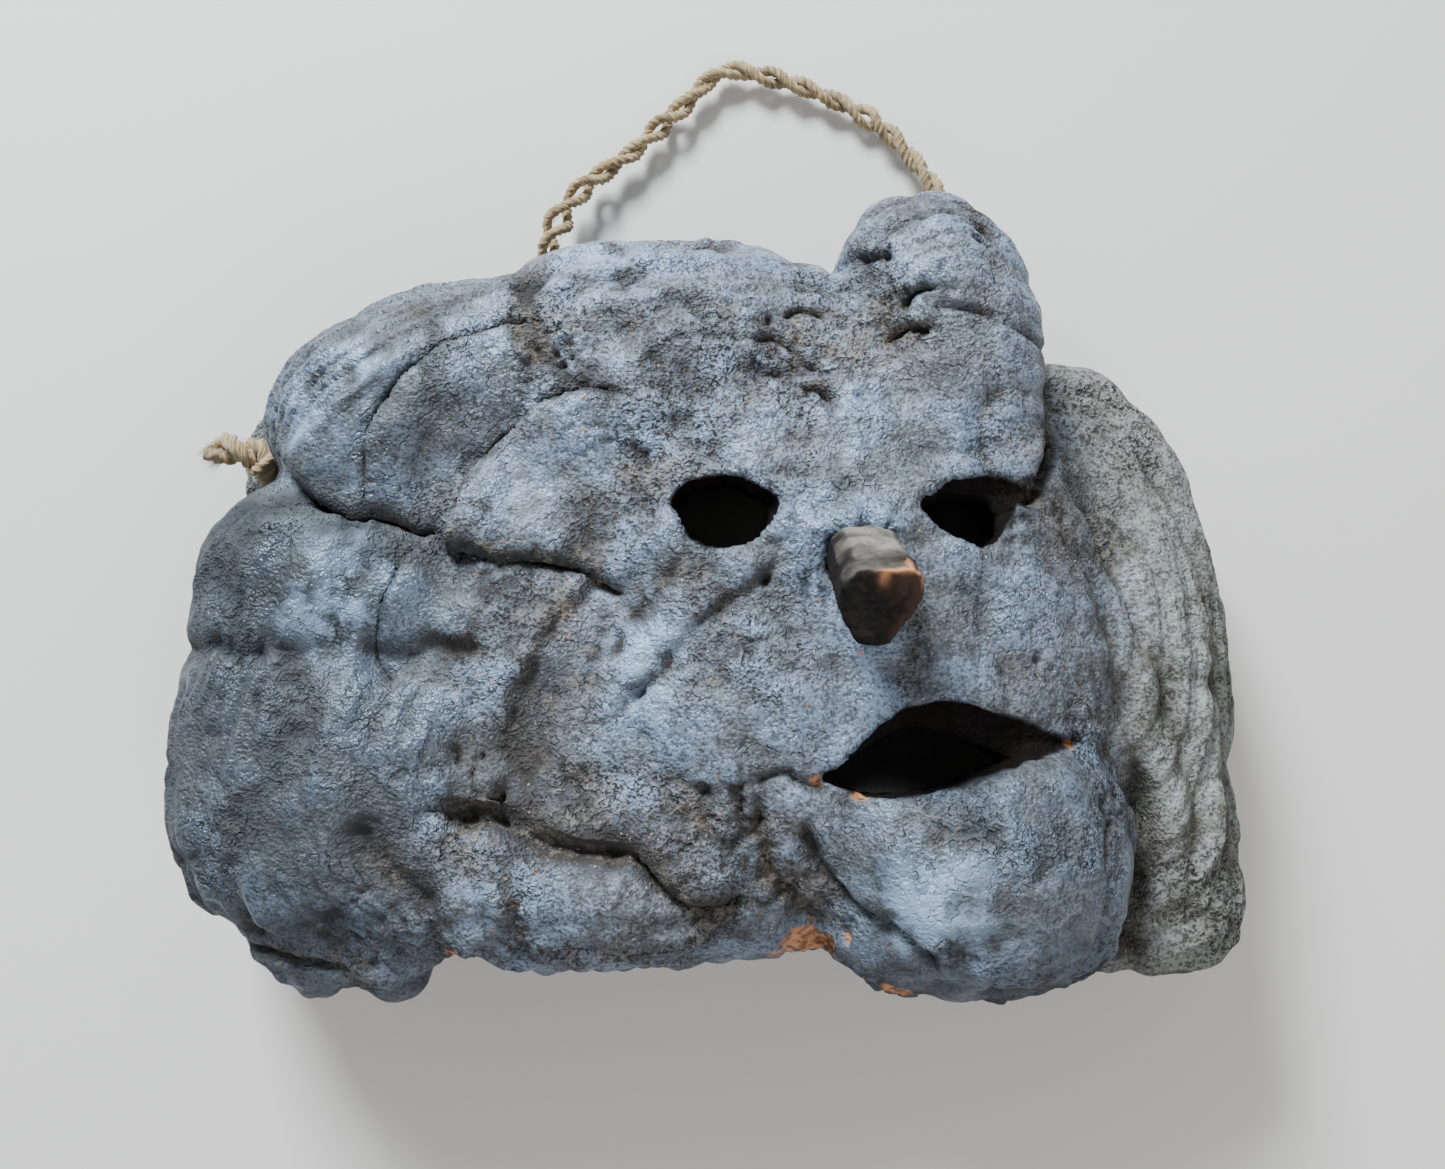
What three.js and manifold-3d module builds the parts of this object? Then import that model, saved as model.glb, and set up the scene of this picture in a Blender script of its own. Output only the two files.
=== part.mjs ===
// A rustic mask carved from a large cluster of bracket fungus, lying face up.
// A hollow shell with two eye holes and a mouth slit carries a whittled wooden nose peg.
// A cord runs from a stopper knot at the left edge through the hollow and makes a loop above the brow.
// Millimetres. +X is towards the right of the face as it is looked at, +Y towards the brow, +Z out of the face.
// The origin is the middle of the mask at the plane that its back rim rests on.

import * as THREE from 'three';
import { mergeVertices } from 'three/addons/utils/BufferGeometryUtils.js';
import Module from 'manifold-3d';

const wasm = await Module();
wasm.setup();

// ---- driving dimensions ----

const GAP = 0.3; // between pieces that touch
const LOBE_SEGMENTS = { around: 26, along: 14 };
const HOLLOW_SEGMENTS = { around: 20, along: 10 };
const BELOW = 80; // how far a lobe would reach under its widest level, before the back is cut flat
const BIG = 500; // side of the block that cuts the back flat

// Each lobe is one swelling of the fungus: its centre, its half sizes, its turn about Z in degrees,
// and how square it is (2 is an ellipsoid).
const FACE_LOBES = [
  { at: [36, -15, 52], half: [82, 92, 46], turn: 0, square: 2.6 }, // the face
  { at: [74, -79, 60], half: [48, 41, 46], turn: 4, square: 2.3 }, // the chin
  { at: [-40, -13, 50], half: [66, 78, 38], turn: 0, square: 2.6 }, // the cheek
  { at: [-16, 59, 50], half: [68, 51, 42], turn: 0, square: 2.4 }, // the forehead
  { at: [70, 72, 52], half: [30, 48, 44], turn: 12, square: 2.6 }, // the crown
  { at: [-84, 55, 46], half: [56, 40, 42], turn: 16, square: 2.3 }, // upper left
  { at: [-105, 1, 46], half: [52, 36, 42], turn: 0, square: 2.3 }, // middle left
  { at: [-101, -57, 48], half: [62, 50, 42], turn: 0, square: 2.4 }, // lower left
  { at: [-36, -81, 54], half: [72, 30, 38], turn: 0, square: 2.4 }, // along the bottom
  { at: [-108, -105, 60], half: [28, 13, 10], below: 12, turn: -6, square: 2.2 }, // a flap under the lower left
];
const RIGHT_BRACKET_LOBES = [
  { at: [109, -13, 34], half: [51, 90, 36], turn: 8, square: 2.4 },
  { at: [128, -80, 32], half: [34, 32, 32], turn: 0, square: 2.8 },
];
const LEFT_BRACKET_LOBES = [
  { at: [-133, 41, 18], half: [20, 27, 18], turn: 0, square: 2.2 },
];

// The hollow behind the face, as domes that stand on the back plane: centre, half sizes and squareness.
const HOLLOWS = [
  { at: [34, -15, 0], half: [66, 74, 88], turn: 0, square: 3 }, // behind the face
  { at: [-74, -3, 0], half: [64, 62, 68], turn: 0, square: 3 }, // behind the left lobes
  { at: [-68, 47, 0], half: [46, 40, 62], turn: 0, square: 3 }, // behind the upper left
  { at: [-8, 55, 0], half: [52, 36, 72], turn: 0, square: 3 }, // behind the forehead
  { at: [60, 55, 0], half: [34, 50, 68], turn: 0, square: 3 }, // behind the crown
];

// Eye holes and mouth: outlines in the XY plane, cut straight through the wall.
const EYE_LEFT = { at: [3, 18], outline: [[-15, 3], [-9, 8], [0, 10], [9, 7], [15, 2], [10, -6], [3, -10], [-8, -9]] };
const EYE_RIGHT = { at: [71.5, 18], outline: [[-15, 1], [-10, 7], [0, 10], [10, 9], [17, 5], [12, -5], [4, -11], [-7, -6]] };
const MOUTH = {
  at: [63, -49],
  outline: [[-35, -6], [-21, 2], [-11, 12], [4, 15], [20, 12], [36, 3], [22, -3], [4, -8], [-12, -11], [-25, -10]],
};
const CUT_FROM = 40;
const CUT_TO = 130;

const NOSE = { foot: [39.5, 10, 72], tip: [41.5, -11, 131], footRadius: 9, tipRadius: 12, sides: 7 };

const CORD_RADIUS = 3.5;
const CORD_SIDES = 8;
const CORD_HOLE_RADIUS = 5;

// The loop above the brow swings about the line through its two ends.
const LOOP_LEFT = [-57, 117, 12];
const LOOP_RIGHT = [78, 134.5, 12];
const LOOP_ROUTE = [
  LOOP_LEFT, [-55.5, 124, 11.5], [-53, 131, 10.5], [-49, 138.5, 9.5], [-43, 145, 8.5], [-35, 151.5, 7.5],
  [-26, 159, 7], [-18, 167, 6], [-10, 174.5, 6], [-4.5, 180.5, 6], [0.5, 185, 6], [6.5, 186.5, 6], [13.5, 185.5, 6],
  [22, 183.5, 6], [31, 180.5, 6], [40, 176.5, 6], [49.5, 172, 6], [58, 165.5, 7], [66, 156.5, 8], [73.5, 146, 10],
  LOOP_RIGHT,
];

// The knot outside the left edge, the run inside the hollow, and the two ends that stay in their holes.
const KNOT_LEFT = { at: [-152, 43, 42], half: [10, 7, 7] };
const KNOT_RIGHT = { at: [62, 81, 12], half: [8, 9, 8] };
const INNER_ROUTE = [
  [-142.8, 39.5, 38.6], [-138, 38.5, 36], [-130, 37, 31.4], [-122, 35.4, 27], [-113, 35.5, 21], [-102, 40, 15],
  [-90, 48, 11], [-78, 58, 10], [-68, 69, 10], [-63.5, 81, 11], [-60.8, 96, 11.2],
];
const END_LEFT_ROUTE = [[-60.5, 96.6, 11.2], [-59.4, 103, 11.6], [-58.2, 109, 12], [-57.6, 112.6, 12]];
const END_RIGHT_ROUTE = [[76.6, 130.2, 12], [74.6, 122, 12], [71.4, 111, 12], [67.7, 99, 12], [64.9, 90.4, 12]];

// ---- materials ----

const fungus = () => new THREE.MeshStandardMaterial({ color: 0x47444a, roughness: 0.85, metalness: 0 });
const greyFungus = () => new THREE.MeshStandardMaterial({ color: 0x5c5c52, roughness: 0.9, metalness: 0 });
const wood = () => new THREE.MeshStandardMaterial({ color: 0x4a3628, roughness: 0.7, metalness: 0 });
const jute = () => new THREE.MeshStandardMaterial({ color: 0x9d8258, roughness: 0.95, metalness: 0 });

// ---- solids and booleans ----

function toSolid(geometry) {
  const bare = geometry.clone();
  bare.deleteAttribute('normal');
  bare.deleteAttribute('uv');
  const merged = mergeVertices(bare, 1e-4);
  return new wasm.Manifold(new wasm.Mesh({
    numProp: 3,
    vertProperties: new Float32Array(merged.attributes.position.array),
    triVerts: new Uint32Array(merged.index.array),
  }));
}

function toGeometry(solid) {
  const mesh = solid.getMesh();
  const geometry = new THREE.BufferGeometry();
  geometry.setAttribute('position', new THREE.BufferAttribute(new Float32Array(mesh.vertProperties), 3));
  geometry.setIndex(new THREE.BufferAttribute(new Uint32Array(mesh.triVerts), 1));
  geometry.computeVertexNormals();
  return geometry;
}

function piece(name, solid, material) {
  const mesh = new THREE.Mesh(toGeometry(solid), material);
  mesh.name = name;
  return mesh;
}

function joined(solids) {
  return solids.reduce((sum, solid) => sum.add(solid));
}

// A sphere whose points are moved onto a rounded box: longer under its widest level, and turned about Z.
function lobeSolid({ at, half, turn, square, below = BELOW }, { around, along }, grow = 0) {
  const geometry = new THREE.SphereGeometry(1, around, along);
  geometry.rotateX(Math.PI / 2);
  const place = geometry.attributes.position;
  const point = new THREE.Vector3();
  for (let i = 0; i < place.count; i += 1) {
    point.fromBufferAttribute(place, i);
    const sum = Math.abs(point.x) ** square + Math.abs(point.y) ** square + Math.abs(point.z) ** square;
    point.divideScalar(sum ** (1 / square));
    const height = point.z > 0 ? half[2] + grow : below + grow;
    point.multiply(new THREE.Vector3(half[0] + grow, half[1] + grow, height));
    place.setXYZ(i, point.x, point.y, point.z);
  }
  geometry.rotateZ(THREE.MathUtils.degToRad(turn));
  geometry.translate(...at);
  return toSolid(geometry);
}

function cluster(lobes, grow = 0) {
  return joined(lobes.map((lobe) => lobeSolid(lobe, LOBE_SEGMENTS, grow)));
}

function underBack() {
  const block = new THREE.BoxGeometry(BIG, BIG, BIG);
  block.translate(0, 0, -BIG / 2);
  return toSolid(block);
}

// A smooth closed outline, cut straight through along Z.
function throughCut({ at, outline }) {
  const curve = new THREE.CatmullRomCurve3(outline.map(([x, y]) => new THREE.Vector3(x, y, 0)), true, 'centripetal');
  const shape = new THREE.Shape(curve.getPoints(outline.length * 2).slice(0, -1).map(({ x, y }) => new THREE.Vector2(x, y)));
  const geometry = new THREE.ExtrudeGeometry(shape, { depth: CUT_TO - CUT_FROM, bevelEnabled: false });
  geometry.translate(at[0], at[1], CUT_FROM);
  return toSolid(geometry);
}

function circle(radius, sides) {
  const shape = new THREE.Shape();
  for (let i = 0; i < sides; i += 1) {
    const angle = (i * 2 * Math.PI) / sides;
    const x = radius * Math.cos(angle);
    const y = radius * Math.sin(angle);
    if (i === 0) shape.moveTo(x, y);
    else shape.lineTo(x, y);
  }
  shape.closePath();
  return shape;
}

function tube(route, radius, steps) {
  const path = new THREE.CatmullRomCurve3(route.map((point) => new THREE.Vector3(...point)), false, 'centripetal');
  return toSolid(new THREE.ExtrudeGeometry(circle(radius, CORD_SIDES), { steps, extrudePath: path, bevelEnabled: false }));
}

function straightHole(from, to) {
  const start = new THREE.Vector3(...from);
  const end = new THREE.Vector3(...to);
  return toSolid(new THREE.ExtrudeGeometry(circle(CORD_HOLE_RADIUS, CORD_SIDES * 2), {
    steps: 1,
    extrudePath: new THREE.LineCurve3(start, end),
    bevelEnabled: false,
  }));
}

function knot({ at, half }) {
  const ball = new THREE.SphereGeometry(1, 12, 8);
  ball.scale(...half);
  ball.translate(...at);
  return toSolid(ball);
}

// ---- the nose peg ----

function nosePeg(grow = 0) {
  const foot = new THREE.Vector3(...NOSE.foot);
  const tip = new THREE.Vector3(...NOSE.tip);
  const along = tip.clone().sub(foot);
  const peg = new THREE.CylinderGeometry(
    NOSE.tipRadius + grow, NOSE.footRadius + grow, along.length() + 2 * grow, NOSE.sides,
  );
  peg.applyQuaternion(new THREE.Quaternion().setFromUnitVectors(new THREE.Vector3(0, 1, 0), along.normalize()));
  peg.translate(...foot.add(tip).multiplyScalar(0.5));
  return toSolid(peg);
}

// ---- the fungus ----

const back = underBack();
const faceOutside = cluster(FACE_LOBES).subtract(back);
const faceClear = cluster(FACE_LOBES, GAP);
const hollow = joined(HOLLOWS.map((dome) => lobeSolid(dome, HOLLOW_SEGMENTS)));

const knotHole = straightHole([-146, 40.2, 40.3], [-121, 35.2, 26.4]);
const leftHole = straightHole([-64, 79, 11], [-56, 125, 12]);
const rightHole = straightHole([78, 131, 12], [62, 83, 12]);
const cordHoles = joined([knotHole, leftHole, rightHole]);

const openings = joined([hollow, cordHoles, throughCut(EYE_LEFT), throughCut(EYE_RIGHT), throughCut(MOUTH), nosePeg(GAP)]);
const faceShell = faceOutside.subtract(openings);

const rightBracket = cluster(RIGHT_BRACKET_LOBES).subtract(back).subtract(faceClear);
const leftBracket = cluster(LEFT_BRACKET_LOBES).subtract(back).subtract(faceClear).subtract(cordHoles);

// ---- assembly ----

const mask = new THREE.Group();
mask.add(piece('face_shell', faceShell, fungus()));
mask.add(piece('right_rear_bracket', rightBracket, greyFungus()));
mask.add(piece('rear_left_bracket', leftBracket, greyFungus()));
mask.add(piece('nose_peg', nosePeg(), wood()));
mask.add(piece('cord_loop', tube(LOOP_ROUTE, CORD_RADIUS, 28), jute()));
mask.add(piece('cord_end_left', tube(END_LEFT_ROUTE, CORD_RADIUS, 4), jute()));
mask.add(piece('cord_end_right', tube(END_RIGHT_ROUTE, CORD_RADIUS, 5), jute()));
mask.add(piece('cord_inner_run', tube(INNER_ROUTE, CORD_RADIUS, 14), jute()));
mask.add(piece('knot_left', knot(KNOT_LEFT), jute()));
mask.add(piece('knot_right', knot(KNOT_RIGHT), jute()));

export default mask;
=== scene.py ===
"""A rustic mask carved from a cluster of bracket fungus, with a wooden nose peg and a jute hanging cord."""

import math
from collections import namedtuple
from functools import reduce
from itertools import product

import bpy
import numpy as np
import openvdb
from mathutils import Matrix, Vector


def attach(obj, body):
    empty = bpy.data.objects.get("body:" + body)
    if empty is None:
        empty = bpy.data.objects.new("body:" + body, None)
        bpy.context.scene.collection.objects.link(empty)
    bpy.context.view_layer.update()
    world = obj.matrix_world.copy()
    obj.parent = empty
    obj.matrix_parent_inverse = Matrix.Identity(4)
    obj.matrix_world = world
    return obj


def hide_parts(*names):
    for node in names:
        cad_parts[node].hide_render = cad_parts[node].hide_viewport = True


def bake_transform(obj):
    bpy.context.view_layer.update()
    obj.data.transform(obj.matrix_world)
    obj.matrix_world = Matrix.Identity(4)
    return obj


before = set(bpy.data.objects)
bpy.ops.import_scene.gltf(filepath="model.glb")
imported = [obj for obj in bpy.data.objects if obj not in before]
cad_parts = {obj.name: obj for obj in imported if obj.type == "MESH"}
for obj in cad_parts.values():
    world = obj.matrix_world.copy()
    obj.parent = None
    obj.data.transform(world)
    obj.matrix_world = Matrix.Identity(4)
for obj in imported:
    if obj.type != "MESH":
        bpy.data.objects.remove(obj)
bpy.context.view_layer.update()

MM = 0.001
SCENE = bpy.context.scene

# ---- the camera, above the mask and a little towards the chin ----

CAMERA_AT = (2.65, -40.4, 477)
CAMERA_TILT = math.radians(5.64)
CAMERA_LENS = 35


def add_camera():
    data = bpy.data.cameras.new("camera")
    data.lens = CAMERA_LENS
    data.sensor_width = 36
    data.clip_start = 0.01
    camera = bpy.data.objects.new("camera", data)
    camera.location = Vector(CAMERA_AT) * MM
    camera.rotation_euler = (CAMERA_TILT, 0, 0)
    SCENE.collection.objects.link(camera)
    SCENE.camera = camera


# ---- small helpers ----


def mesh_object(name, points, faces):
    """A smooth-shaded mesh object from points in millimetres and a list or array of faces."""
    mesh = bpy.data.meshes.new(name)
    mesh.from_pydata((np.asarray(points, float) * MM).tolist(), [], [list(map(int, f)) for f in faces])
    mesh.validate()
    mesh.shade_smooth()
    thing = bpy.data.objects.new(name, mesh)
    SCENE.collection.objects.link(thing)
    return thing


def add_attribute(thing, name, values):
    attribute = thing.data.attributes.new(name, "FLOAT", "POINT")
    attribute.data.foreach_set("value", np.asarray(values, np.float32))


def catmull_rom(a, b, c, d, t):
    """The curve from b to c at share t of the way; a and d are the points before and after them."""
    slope = c - a
    bend = 2 * a - 5 * b + 4 * c - d
    twist = 3 * b - a - 3 * c + d
    return 0.5 * (2 * b + slope * t + bend * t**2 + twist * t**3)


def smooth_path(points, step):
    """Points every step millimetres along a Catmull-Rom curve through the given points."""
    p = np.array(points, float)
    p = np.vstack([2 * p[0] - p[1], p, 2 * p[-1] - p[-2]])
    t = np.linspace(0, 1, 24, endpoint=False)[:, None]
    fine = [catmull_rom(a, b, c, d, t) for a, b, c, d in zip(p[:-3], p[1:-2], p[2:-1], p[3:])]
    fine = np.vstack(fine + [p[-2:-1]])
    along = distances(fine)
    wanted = np.linspace(0, along[-1], int(round(along[-1] / step)) + 1)
    return np.stack([np.interp(wanted, along, fine[:, i]) for i in range(3)], axis=1)


def smooth_ring(outline):
    """Points along a closed Catmull-Rom curve in the XY plane."""
    p = np.array(outline, float)
    before, after, later = np.roll(p, 1, axis=0), np.roll(p, -1, axis=0), np.roll(p, -2, axis=0)
    ring = [catmull_rom(before, p, after, later, t) for t in (0, 0.25, 0.5, 0.75)]
    return np.stack(ring, axis=1).reshape(-1, 2)


def distances(path):
    """How far along the path each of its points is."""
    return np.concatenate([[0], np.cumsum(np.linalg.norm(np.diff(path, axis=0), axis=1))])


def path_length(path):
    return float(distances(path)[-1])


def blur_line(values, times):
    """Evens out a line of points, keeping its two ends."""
    values = values.copy()
    for _ in range(times):
        values[1:-1] = (values[:-2] + 2 * values[1:-1] + values[2:]) / 4
    return values


def lattice_value(ix, iy, iz, seed):
    """A repeatable random value from -1 to 1 for a corner of the noise's grid, by an integer hash."""
    h = (ix * 374761393 + iy * 668265263 + iz * 2147483647 + seed * 1274126177) & 0xFFFFFFFF
    h = ((h ^ (h >> 13)) * 1274126177) & 0xFFFFFFFF
    h = ((h ^ (h >> 16)) * 2246822519) & 0xFFFFFFFF
    return ((h ^ (h >> 15)) & 0xFFFFFF) / 0x7FFFFF - 1


def noise(p, size, seed=0):
    """Smooth value noise from -1 to 1 at points p in millimetres, with lumps about size across."""
    q = np.asarray(p, float) / size + 7.31 * seed
    cell = np.floor(q).astype(np.int64)
    f = q - cell
    f = f * f * f * (f * (f * 6 - 15) + 10)
    total = np.zeros(len(q))
    for dx, dy, dz in product((0, 1), repeat=3):
        weight = (f[:, 0] if dx else 1 - f[:, 0]) * (f[:, 1] if dy else 1 - f[:, 1])
        weight = weight * (f[:, 2] if dz else 1 - f[:, 2])
        total += weight * lattice_value(cell[:, 0] + dx, cell[:, 1] + dy, cell[:, 2] + dz, seed)
    return total


def rough(p, size, octaves, seed=0, gain=0.5):
    """Layers of noise, each half the size and gain times the height of the one before."""
    return sum(gain**i * noise(p, size / 2**i, seed + i) for i in range(octaves))


def ramp(value, low, high):
    """A smooth step from 0 at low to 1 at high."""
    t = np.clip((value - low) / (high - low), 0, 1)
    return t * t * (3 - 2 * t)


# ---- the cord ----

STRAND_RADIUS = 1.85
LOOP_LEFT = (-57, 117, 12)
LOOP_RIGHT = (78, 134.5, 12)
LOOP_ROUTE = [
    LOOP_LEFT, (-55.5, 124, 11.5), (-53, 131, 10.5), (-49, 138.5, 9.5), (-43, 145, 8.5), (-35, 151.5, 7.5),
    (-26, 159, 7), (-18, 167, 6), (-10, 174.5, 6), (-4.5, 180.5, 6), (0.5, 185, 6), (6.5, 186.5, 6),
    (13.5, 185.5, 6), (22, 183.5, 6), (31, 180.5, 6), (40, 176.5, 6), (49.5, 172, 6), (58, 165.5, 7),
    (66, 156.5, 8), (73.5, 146, 10), LOOP_RIGHT,
]
END_LEFT_ROUTE = [(-60.5, 96.6, 11.2), (-59.4, 103, 11.6), (-58.2, 109, 12)]
END_RIGHT_ROUTE = [(76.6, 126, 12), (74.6, 122, 12), (71.4, 111, 12), (67.7, 99, 12), (64.9, 90.4, 12)]
INNER_ROUTE = [
    (-142.8, 39.5, 38.6), (-138, 38.5, 36), (-130, 37, 31.4), (-122, 35.4, 27), (-113, 35.5, 21),
    (-102, 40, 15), (-90, 48, 11), (-78, 58, 10), (-68, 69, 10), (-63.5, 81, 11), (-60.8, 96, 11.2),
]
STUB_ROUTE = [
    (-138.5, 34, 38), (-139.5, 38.5, 41), (-142, 42.5, 43.5), (-147, 44.5, 44.5), (-153, 45, 43.5),
    (-157.5, 43, 42),
]
KNOT_RIGHT = (62, 81, 12)
CORD_PITCH = 24  # the length in which the two strands turn once round each other
STUB_PITCH = 19  # the same in the thick stub
STUB_OPENING = 2.35  # how far each of the stub's strands stands off its middle
WRAP_REACH = 4.3  # how far the twine wrapped round the stub stands off its middle
PLY_GROOVE = 0.32  # how deep the grooves between a strand's plies are, as a share of its radius


def frames_along(path):
    """Two directions across the path at each of its points, turning as little as they can."""
    along = np.gradient(path, axis=0)
    along /= np.linalg.norm(along, axis=1, keepdims=True)
    side = np.cross(along[0], (0, 0, 1))
    sides = []
    for direction in along:
        side = side - direction * (side @ direction)
        side /= np.linalg.norm(side)
        sides.append(side)
    sides = np.array(sides)
    return along, sides, np.cross(along, sides)


class Parts:
    """Gathers points, faces and each point's place in its own straightened strand."""

    def __init__(self):
        self.points = []
        self.faces = []
        self.strand = []

    def add(self, points, faces, strand):
        base = len(self.points)
        self.points.extend(np.asarray(points).tolist())
        self.faces.extend(tuple(base + i for i in face) for face in faces)
        self.strand.extend(np.asarray(strand).tolist())

    def build(self, name, material):
        thing = mesh_object(name, self.points, self.faces)
        attribute = thing.data.attributes.new("strand", "FLOAT_VECTOR", "POINT")
        attribute.data.foreach_set("vector", np.asarray(self.strand, np.float32).ravel())
        thing.data.materials.append(material)
        return thing


def add_twine(parts, path, radius, around, seed):
    """A closed tube of three plies along a path, with a rough skin.

    The radius is one number, or one for each point of the path.
    """
    along, side, up = frames_along(path)
    distance = distances(path)
    radius = np.broadcast_to(radius, (len(path),))[:, None]
    angle = np.linspace(0, 2 * math.pi, around, endpoint=False)[None]
    lay = 2 * math.pi * distance[:, None] / (4 * radius)
    section = 1 - PLY_GROOVE * np.abs(np.sin(1.5 * (angle - lay) + 0.4)) ** 3
    out = side[:, None] * np.cos(angle)[..., None] + up[:, None] * np.sin(angle)[..., None]
    skin = path[:, None] + out * (radius * section)[..., None]
    places = skin.reshape(-1, 3)
    fuzz = 0.15 * noise(places, 1.3, seed) + 0.08 * noise(places, 0.6, seed + 1)
    skin = skin + out * (radius * fuzz.reshape(len(path), around))[..., None]
    points = np.vstack([skin.reshape(-1, 3), path[:1] - along[:1] * 0.4, path[-1:] + along[-1:] * 0.4])
    faces = []
    for i in range(len(path) - 1):
        for j in range(around):
            k = (j + 1) % around
            faces.append((i * around + j, i * around + k, (i + 1) * around + k, (i + 1) * around + j))
    last = (len(path) - 1) * around
    for j in range(around):
        k = (j + 1) % around
        faces.append((k, j, len(points) - 2))
        faces.append((last + j, last + k, len(points) - 1))
    turned = angle - lay
    along_ply = distance[:, None] / 9 + 0 * turned
    strand = np.stack([np.cos(turned) * radius, np.sin(turned) * radius, along_ply], axis=-1)
    strand = np.vstack([strand.reshape(-1, 3) + 17.0 * seed, [[seed, 0, 0], [seed, 0, 9]]])
    parts.add(points, faces, strand)


def add_fibres(parts, path, count, reach, spread, random, lean=0.0):
    """Fine loose hairs that start in the cord and curl out of it; lean sends them along the cord."""
    along, side, up = frames_along(path)
    for _ in range(count):
        i = random.integers(1, len(path) - 1)
        turn = random.uniform(0, 2 * math.pi)
        out = side[i] * math.cos(turn) + up[i] * math.sin(turn)
        flow = along[i] * (random.choice((-1, 1)) if lean == 0 else 1)
        length = random.uniform(0.3, 1.0) * reach
        lift = random.uniform(0.15, 0.9) * (1 - 0.7 * lean)
        curl = np.cross(out, flow) * random.uniform(-0.6, 0.6)
        root = path[i] + out * spread * random.uniform(0.3, 0.9)
        thick = random.uniform(0.06, 0.11)
        points, faces = [], []
        for k, t in enumerate((0, 0.35, 0.7, 1)):
            centre = root + length * (flow * t + out * lift * t * (1 - 0.4 * t) + curl * t * t)
            size = thick * (1 - 0.8 * t)
            points.append(centre + size * out)
            points.append(centre + size * (flow - out) * 0.6)
            points.append(centre - size * (flow + out) * 0.6)
            if k:
                a = 3 * k
                faces += [(a - 3, a - 2, a + 1, a), (a - 2, a - 1, a + 2, a + 1), (a - 1, a - 3, a, a + 2)]
        faces += [(2, 1, 0), (9, 10, 11)]
        parts.add(points, faces, np.array(points) * 0.2)


def add_two_strands(parts, path, radius, opening, pitch, around, seed, phase=0.5):
    """Two strands of twine wound round each other; opening is how far each stands off the middle."""
    _, side, up = frames_along(path)
    distance = np.linspace(0, path_length(path), len(path))
    turn = 2 * math.pi * distance / pitch + phase
    opening = np.broadcast_to(opening, (len(path),))[:, None]
    for strand, start in enumerate((0, math.pi)):
        swing = side * np.cos(turn + start)[:, None] + up * np.sin(turn + start)[:, None]
        wobble = noise(path + 40 * start, 9, seed)[:, None] * 0.2
        line = blur_line(path + swing * opening * (1 + wobble), 2)
        add_twine(parts, line, radius, around, seed + strand)


CORD_STEP = 0.6
CORD_AROUND = 16
# Where the two strands part, as a share of the cord's length, and how far, in strand radii.
CORD_GAPS = [(0.125, 1.3), (0.20, 0.8), (0.34, 0.8), (0.52, 0.3), (0.66, 0.4)]


def twisted_cord(name, path, opening, fibres, reach, seed, material):
    """Two strands wound round each other along the path, with so many fibres that reach so far."""
    parts = Parts()
    add_two_strands(parts, path, STRAND_RADIUS, opening, CORD_PITCH, CORD_AROUND, seed)
    add_fibres(parts, path, fibres, reach, STRAND_RADIUS * 1.7, np.random.default_rng(seed))
    return parts.build(name, material)


def add_hanging_cord(material):
    path = smooth_path(END_LEFT_ROUTE + LOOP_ROUTE + END_RIGHT_ROUTE, CORD_STEP)
    share = np.linspace(0, 1, len(path))
    loose = sum(gap * np.exp(-(((share - at) / 0.028) ** 2)) for at, gap in CORD_GAPS)
    cord = twisted_cord("hanging_cord", path, STRAND_RADIUS * (0.88 + loose), 420, 5.0, 11, material)
    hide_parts("cord_loop", "cord_end_left", "cord_end_right")
    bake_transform(cord)


def add_cord_behind(material):
    path = smooth_path(INNER_ROUTE, CORD_STEP)
    cord = twisted_cord("cord_behind", path, STRAND_RADIUS * 0.9, 160, 4.0, 21, material)
    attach(cord, "mask")
    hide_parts("cord_inner_run")


def add_left_knot(material):
    """The thick twisted stub at the left edge, wrapped once and ending in a frayed brush."""
    path = smooth_path(STUB_ROUTE, CORD_STEP)
    share = np.linspace(0, 1, len(path))
    parts = Parts()
    thick = 2.75 * (1 - 0.25 * ramp(share, 0.8, 1.0))
    add_two_strands(parts, path, thick, STUB_OPENING, STUB_PITCH, CORD_AROUND + 4, 31, 2.4)
    _, side, up = frames_along(path)
    steps = 60
    turn = np.linspace(0.4, 2.5 * math.pi, steps)
    at = len(path) * (0.22 + 0.16 * np.linspace(0, 1, steps))
    place = np.stack([np.interp(at, np.arange(len(path)), path[:, i]) for i in range(3)], axis=1)
    pick = at.astype(int)
    ring = place + WRAP_REACH * (side[pick] * np.cos(turn)[:, None] + up[pick] * np.sin(turn)[:, None])
    add_twine(parts, ring, 1.7, CORD_AROUND, 33)
    random = np.random.default_rng(31)
    add_fibres(parts, path, 160, 4.0, 4.0, random)
    add_fibres(parts, path[-12:], 380, 6.0, 3.6, random, lean=0.8)
    knot = parts.build("left_knot", material)
    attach(knot, "mask")
    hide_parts("knot_left")


def add_right_knot(material):
    """The overhand knot behind the crown that holds the other end of the cord."""
    t = np.linspace(0.25, 2 * math.pi - 0.25, 90)
    ring = 2 + np.cos(3 * t)
    axis = Vector(END_RIGHT_ROUTE[-1]) - Vector(KNOT_RIGHT)
    turned = axis.to_track_quat("Z", "Y").to_matrix()
    loops = np.stack([ring * np.cos(2 * t), ring * np.sin(2 * t), np.sin(3 * t)], axis=1) * 2.3
    path = loops @ np.array(turned).T + np.array(KNOT_RIGHT)
    parts = Parts()
    add_twine(parts, path, 2.1, CORD_AROUND, 41)
    add_fibres(parts, path, 160, 4.0, 2.0, np.random.default_rng(41))
    knot = parts.build("right_knot", material)
    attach(knot, "mask")
    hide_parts("knot_right")


# ---- the fungus: one smooth field of swellings, hollowed and pierced ----

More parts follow.
